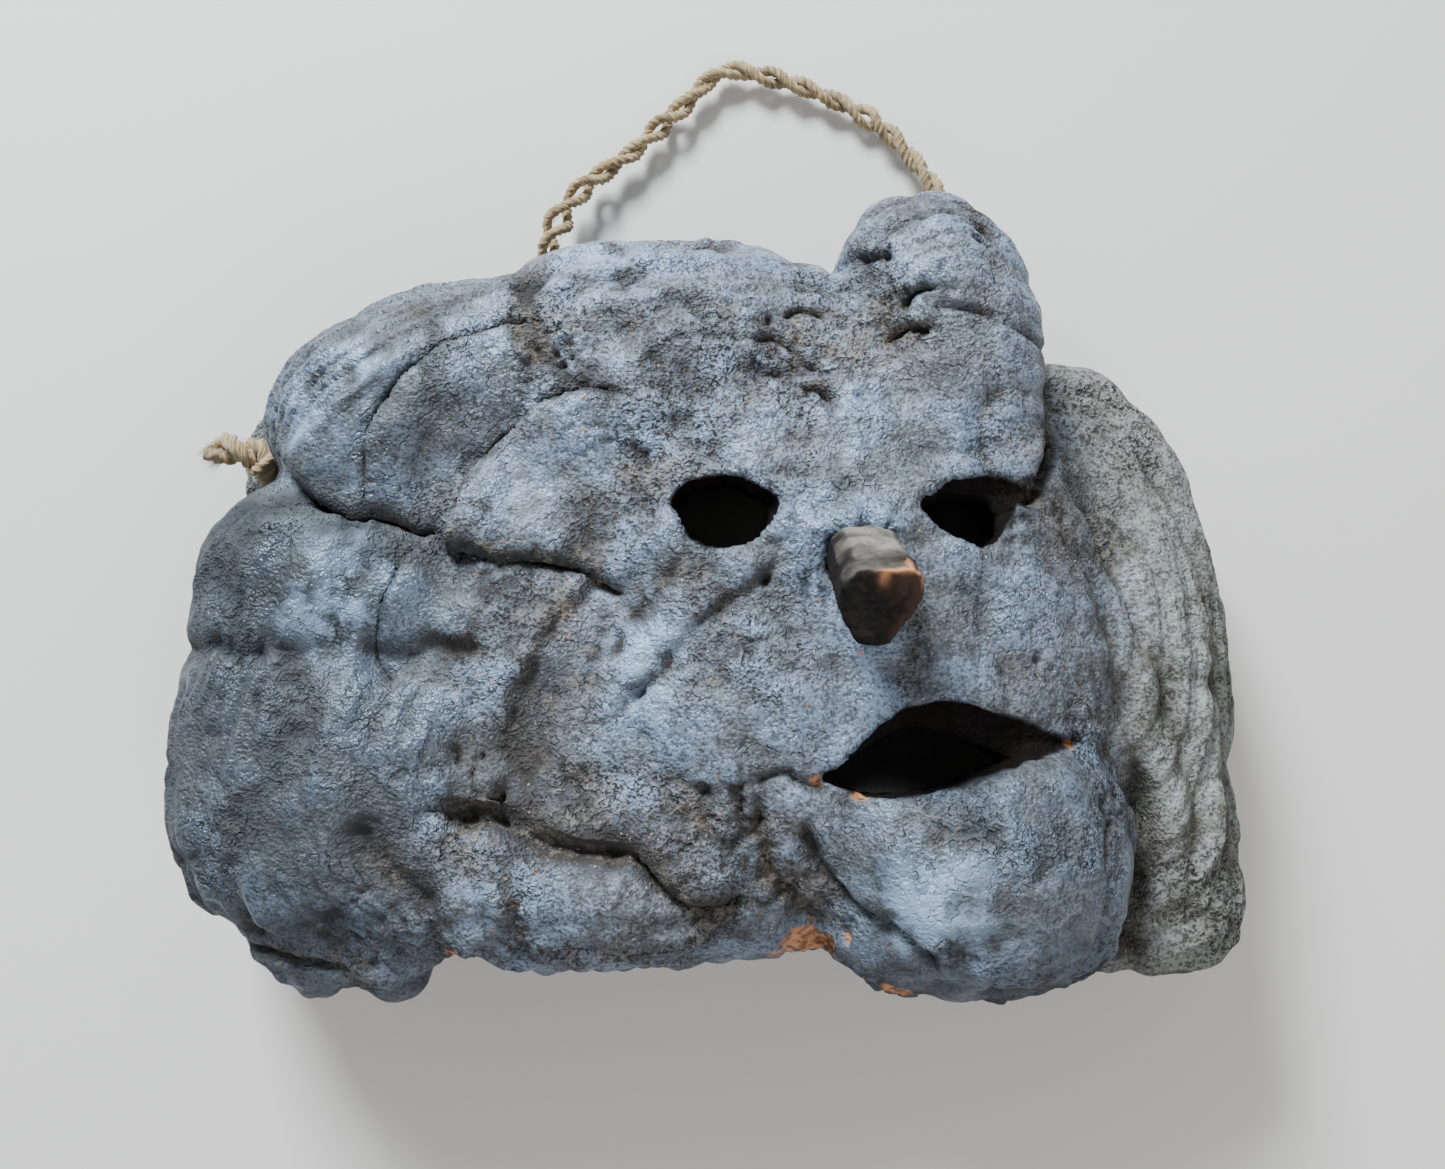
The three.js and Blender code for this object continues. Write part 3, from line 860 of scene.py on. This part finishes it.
def add_fungus(material):
    """The main cluster with its right rear bracket, as one skin; its flat back rim stays at height 0."""
    block = Block((-172, -132, -4), (172, 130, 116), 1.0)
    shell, points, normals = skin("fungus_shell", fungus_field(block), block)
    move, masks = fungus_relief(points, normals)
    moved = points + move
    moved[:, 2] = np.maximum(moved[:, 2], 0)
    resting = points[:, 2] < 0.6
    moved[resting] = points[resting]
    move_skin(shell, moved, masks, material)
    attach(shell, "mask")
    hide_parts("face_shell", "right_rear_bracket")


def add_rear_left_bracket(material):
    """The small dusty bracket low at the left edge; it grows out of the main cluster's side."""
    block = Block((-160, 6, -3), (-104, 76, 44), 0.7)
    x, y, z = block.axes
    grown = lobe_field(REAR_LEFT, x, y, z)
    field = carve(carve(grown, swellings(x, y, z) + 2.0, 1), z + 0 * x, 1.0)
    field = carve(field, rod_field(x, y, z, *KNOT_HOLE, CORD_HOLE_RADIUS), 1)
    bracket, points, normals = skin("rear_left_lobe", field, block)
    outer = ramp(-np.abs(lobe_field(REAR_LEFT, *points.T)), -2.5, -0.5)
    rings = np.hypot(points[:, 0] + 118, points[:, 1] - 38) - 0.7 * points[:, 2]
    drift = rough(points, 14, 2, 120)
    relief = 0.6 * wave(rings, 7, 2 * drift) + 1.6 * (billow(points, 9, 3, 123) - 0.5)
    moved = points + normals * (outer * relief)[:, None]
    moved[:, 2] = np.maximum(moved[:, 2], 0)
    # the whole small bracket gets painted shade at 0.6 and no painted highlight
    level = {"rear": 1, "painted_shade": 0.6, "coarse": 0.6, "inner": 0, "flesh": 0, "gloss_and_painted_highlight": 0}
    masks = {name: np.full(len(points), value) for name, value in level.items()}
    masks["cavity"] = relief * outer
    move_skin(bracket, moved, masks, material)
    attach(bracket, "mask")
    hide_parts("rear_left_bracket")


def add_nose_peg(material):
    """The whittled peg, with wood grain along its sides and a chipped corner."""
    block = Block((24, -34, 62), (60, 28, 142), 0.45)
    peg, points, normals = skin("whittled_nose_peg", peg_field(*block.axes), block)
    sides, ends, along = peg_faces(*points.T)
    sides, ends = np.array(sides), np.array(ends)
    ranked = np.sort(np.vstack([sides, ends]), axis=0)
    edge = np.exp(-((ranked[-1] - ranked[-2]) / 0.9) ** 2)
    end = ramp(ends.max(axis=0) - sides.max(axis=0), -0.3, 0.3)
    across = points - along[:, None] * PEG_AXIS
    grain = rough(across + along[:, None] * PEG_AXIS * 0.12, 2.2, 3, 130)
    relief = 0.12 * grain * (1 - 0.4 * end) + 0.3 * rough(points, 3, 3, 134)
    relief -= 0.25 * edge * (1 + noise(points, 3, 137))
    chipped = edge * ramp(points[:, 0], 38, 45) * ramp(points[:, 1], -9, -3) * ramp(along, -12, -3)
    dust = ramp(normals[:, 1] + 0.3 * noise(points, 5, 140), 0.45, 0.9) * (1 - end)
    dust *= 0.3 + 0.7 * ramp(-along, 5, 20)
    masks = {"chipped": chipped, "dust": dust, "warm": end * ramp(points[:, 0], 41, 49)}
    move_skin(peg, points + normals * relief[:, None], masks, material)
    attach(peg, "mask")
    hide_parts("nose_peg")


# ---- materials ----


class Graph:
    """Adds shader nodes to a material or world and wires them as they are made."""

    def __init__(self, owner):
        owner.use_nodes = True
        self.tree = owner.node_tree

    def feed(self, node, **inlets):
        """Feeds a node's inlets, which are named as on the node, or i and their number."""
        for name, value in inlets.items():
            key = int(name[1:]) if name[1:].isdigit() else name.replace("_", " ")
            if isinstance(value, bpy.types.NodeSocket):
                self.tree.links.new(value, node.inputs[key])
            else:
                node.inputs[key].default_value = value

    def add(self, kind, outlet=0, settings=None, **inlets):
        node = self.tree.nodes.new("ShaderNode" + kind)
        for name, value in (settings or {}).items():
            setattr(node, name, value)
        self.feed(node, **inlets)
        return node.outputs[outlet]

    def surface(self, **inlets):
        """Feeds the material's own shader."""
        self.feed(self.tree.nodes["Principled BSDF"], **inlets)

    def mask(self, name):
        return self.add("Attribute", "Fac", {"attribute_name": name})

    def noise(self, place, scale, detail=4, rough=0.6):
        return self.add("TexNoise", 0, None, Vector=place, Scale=scale, Detail=detail, Roughness=rough)

    def span(self, value, low, high, to_low=0.0, to_high=1.0):
        """A smooth step from to_low where the value is low to to_high where it is high."""
        settings = {"interpolation_type": "SMOOTHSTEP"}
        return self.add("MapRange", 0, settings, i0=value, i1=low, i2=high, i3=to_low, i4=to_high)

    def math(self, operation, a, b=0.0):
        return self.add("Math", 0, {"operation": operation}, i0=a, i1=b)

    def times(self, a, b):
        return self.math("MULTIPLY", a, b)

    def plus(self, a, b):
        return self.math("ADD", a, b)

    def minus(self, a, b):
        return self.math("SUBTRACT", a, b)

    def mix(self, factor, a, b):
        """A colour between a and b, each of which is a socket or a red, green and blue."""
        a, b = ((*colour, 1) if isinstance(colour, tuple) else colour for colour in (a, b))
        return self.add("Mix", 2, {"data_type": "RGBA"}, i0=factor, i6=a, i7=b)

    def bump(self, height, strength, distance, invert=False, **under):
        """A bump over the one that is given as Normal, if any."""
        settings = {"invert": invert}
        return self.add("Bump", 0, settings, Strength=strength, Distance=distance, Height=height, **under)


def jute_material():
    material = bpy.data.materials.new("jute")
    g = Graph(material)
    strand = g.add("Attribute", "Vector", {"attribute_name": "strand"})
    place = g.add("TexCoord", "Object")
    hairs = g.noise(strand, 1.1, 3, 0.6)
    patches = g.noise(place, 90, 3)
    colour = g.mix(g.span(hairs, 0.3, 0.68), (0.10, 0.058, 0.022), (0.42, 0.30, 0.145))
    colour = g.mix(g.span(patches, 0.4, 0.75, 0.0, 0.5), colour, (0.50, 0.39, 0.22))
    g.surface(Base_Color=colour, Roughness=0.85, Sheen_Weight=0.25, Sheen_Roughness=0.5)
    g.surface(Normal=g.bump(hairs, 1.0, 0.0008))
    return material


def peg_material():
    material = bpy.data.materials.new("peg_wood")
    g = Graph(material)
    place = g.add("TexCoord", "Object")
    fine = g.noise(place, 420, 5, 0.65)
    middle = g.noise(place, 130, 4, 0.6)
    mottled = g.span(g.plus(fine, middle), 0.8, 1.3)
    wood = g.mix(mottled, (0.004, 0.003, 0.003), (0.014, 0.010, 0.008))
    warm = g.times(g.mask("warm"), g.span(middle, 0.3, 0.6))
    wood = g.mix(warm, wood, (0.046, 0.024, 0.017))
    dust = g.mix(g.span(middle, 0.35, 0.65), (0.100, 0.088, 0.072), (0.205, 0.190, 0.162))
    colour = g.mix(g.times(g.mask("dust"), g.span(fine, 0.3, 0.5, 0.6, 1.0)), wood, dust)
    fresh = g.times(g.mask("chipped"), g.span(middle, 0.35, 0.5))
    colour = g.mix(fresh, colour, (0.50, 0.24, 0.12))
    g.surface(Base_Color=colour, Roughness=g.span(fine, 0.3, 0.7, 0.8, 0.6), Specular_IOR_Level=0.15)
    g.surface(Normal=g.bump(fine, 0.5, 0.0004, Normal=g.bump(middle, 0.35, 0.0008)))
    return material


def fungus_material():
    material = bpy.data.materials.new("fungus")
    g = Graph(material)
    place = g.add("TexCoord", "Object")
    broad = g.noise(place, 24, 3)
    middle = g.noise(place, 95, 3, 0.55)
    crust = g.noise(place, 420, 2, 0.55)
    grains = g.noise(place, 1050, 1, 0.5)
    lines = g.noise(place, 190, 2, 0.5)
    lines = g.span(g.math("ABSOLUTE", g.minus(lines, 0.5)), 0.0, 0.042)
    wrinkled = g.times(g.minus(1.0, lines), g.span(g.noise(place, 60, 2), 0.45, 0.60))
    # painted shade and sheen: near-black brown in the grooves, pits and hollows, light blue-grey on the
    # humps, varied at random
    relief = g.plus(g.times(g.mask("cavity"), 0.22), g.minus(middle, 0.5))
    low_to_high = g.span(relief, -0.80, 0.40)
    coarse = g.mask("coarse")
    colour = g.mix(low_to_high, (0.028, 0.023, 0.019), (0.120, 0.134, 0.158))
    # painted sheen: a bluish reflection laid into the colour on the humps and in random patches
    painted_sheen = g.span(g.plus(broad, g.times(relief, 0.6)), 0.38, 0.72)
    colour = g.mix(g.times(painted_sheen, 0.9), colour, (0.168, 0.226, 0.322))
    dusty = g.times(g.span(g.noise(place, 40, 4, 0.6), 0.47, 0.64), g.span(crust, 0.35, 0.6))
    dusty = g.times(dusty, g.span(coarse, 0.1, 0.9, 0.25, 0.75))
    colour = g.mix(dusty, colour, (0.170, 0.138, 0.104))
    rear = g.mask("rear")
    # the rear brackets' grey-green, likewise darker in the hollows as painted shade
    grey_green = g.mix(low_to_high, (0.070, 0.067, 0.052), (0.245, 0.250, 0.212))
    stained = g.span(g.noise(place, 55, 3), 0.45, 0.70, 0.0, 0.7)
    grey_green = g.mix(stained, grey_green, (0.125, 0.108, 0.072))
    colour = g.mix(g.times(rear, 0.85), colour, grey_green)
    gritty = g.times(g.minus(grains, 0.5), 1.1)
    gritty = g.plus(g.minus(crust, 0.5), gritty)
    pitted = g.times(g.span(gritty, 0.02, -0.18), g.span(coarse, 0.0, 1.0, 0.65, 1.0))
    colour = g.mix(pitted, colour, (0.030, 0.024, 0.019))
    bright = g.times(g.span(gritty, 0.08, 0.26, 0.0, 0.35), low_to_high)
    colour = g.mix(bright, colour, (0.330, 0.400, 0.500))
    wrinkled = g.times(wrinkled, g.span(coarse, 0.0, 0.8, 0.45, 1.0))
    colour = g.mix(g.times(wrinkled, 0.34), colour, (0.024, 0.019, 0.015))
    specks = g.span(g.noise(place, 900, 2, 0.5), 0.68, 0.74)
    colour = g.mix(g.times(specks, 0.7), colour, (0.50, 0.42, 0.30))
    chips = g.times(g.span(g.noise(place, 430, 2, 0.5), 0.70, 0.73), g.span(broad, 0.45, 0.6))
    colour = g.mix(chips, colour, (0.27, 0.13, 0.07))
    # painted shade: darker on the left swellings, the chin and the side walls
    colour = g.mix(g.times(g.mask("painted_shade"), 0.55), colour, (0.020, 0.022, 0.024))
    # painted highlight: lighter blue on the glossy patches
    gloss_and_painted_highlight = g.times(g.mask("gloss_and_painted_highlight"), g.span(middle, 0.40, 0.60))
    colour = g.mix(g.times(gloss_and_painted_highlight, 0.8), colour, (0.270, 0.360, 0.500))
    # painted shade: near-black inside the hollow, on the openings' walls, on the torn edge and at the
    # frayed corners
    inner = g.mask("inner")
    colour = g.mix(g.times(inner, 0.98), colour, (0.006, 0.004, 0.003))
    brown = g.mix(g.span(crust, 0.38, 0.62), (0.17, 0.070, 0.028), (0.43, 0.20, 0.09))
    colour = g.mix(g.mask("flesh"), colour, brown)
    gloss = g.plus(g.times(relief, 0.5), g.times(broad, 0.8))
    gloss = g.plus(gloss, g.times(gloss_and_painted_highlight, 0.4))
    matt = g.times(g.plus(rear, coarse), 0.3)
    matt = g.plus(g.times(inner, 1.6), matt)
    gloss = g.minus(gloss, g.times(matt, 0.7))
    g.surface(Base_Color=colour, Roughness=g.span(gloss, -0.20, 0.60, 1.0, 0.35))
    g.surface(Specular_Tint=(0.72, 0.86, 1.0, 1), Specular_IOR_Level=g.span(inner, 0.0, 1.0, 0.6, 0.05))
    tall = g.span(coarse, 0.0, 1.0, 0.55, 1.3)
    normal = g.bump(middle, 1.0, 0.0018)
    normal = g.bump(wrinkled, 1.0, 0.0006, invert=True, Normal=normal)
    normal = g.bump(g.times(crust, tall), 1.0, 0.0009, Normal=normal)
    normal = g.bump(g.times(grains, tall), 1.0, 0.0008, Normal=normal)
    g.surface(Normal=normal)
    return material


# ---- floor and light ----


def add_stage():
    bpy.ops.mesh.primitive_plane_add(size=6, location=(0, 0, 0))
    floor = bpy.context.object
    floor.name = "floor"
    material = bpy.data.materials.new("pale_floor")
    Graph(material).surface(Base_Color=(0.62, 0.60, 0.57, 1), Roughness=0.7)
    floor.data.materials.append(material)
    add_light("key", (-0.58, 1.28, 1.00), (0, 0, 0.05), 0.50, 87, (0.88, 0.95, 1.0))
    add_light("fill", (0.5, -1.0, 1.2), (0, 0, 0.05), 1.2, 17, (1.0, 0.98, 0.96))
    world = bpy.data.worlds.new("world")
    g = Graph(world)
    direction = g.add("TexCoord", "Generated")
    height = g.add("SeparateXYZ", "Z", None, Vector=direction)
    north = g.add("SeparateXYZ", "Y", None, Vector=direction)
    overhead = g.span(height, 0.72, 0.98, 1.0, 0.11)
    strength = g.times(g.span(height, 0.1, 0.6, 0.22, 0.80), overhead)
    strength = g.times(strength, g.span(north, -0.8, 0.8, 0.45, 1.15))
    g.feed(world.node_tree.nodes["Background"], Color=(0.90, 0.95, 1.0, 1), Strength=strength)
    SCENE.world = world


def add_light(name, at, to, size, power, colour):
    data = bpy.data.lights.new(name, "AREA")
    data.size = size
    data.energy = power
    data.color = colour
    light = bpy.data.objects.new(name, data)
    light.location = at
    light.rotation_euler = (Vector(to) - Vector(at)).to_track_quat("-Z", "Y").to_euler()
    SCENE.collection.objects.link(light)


add_camera()
jute = jute_material()
add_hanging_cord(jute)
add_cord_behind(jute)
add_left_knot(jute)
add_right_knot(jute)
fungus = fungus_material()
add_fungus(fungus)
add_rear_left_bracket(fungus)
add_nose_peg(peg_material())
add_stage()
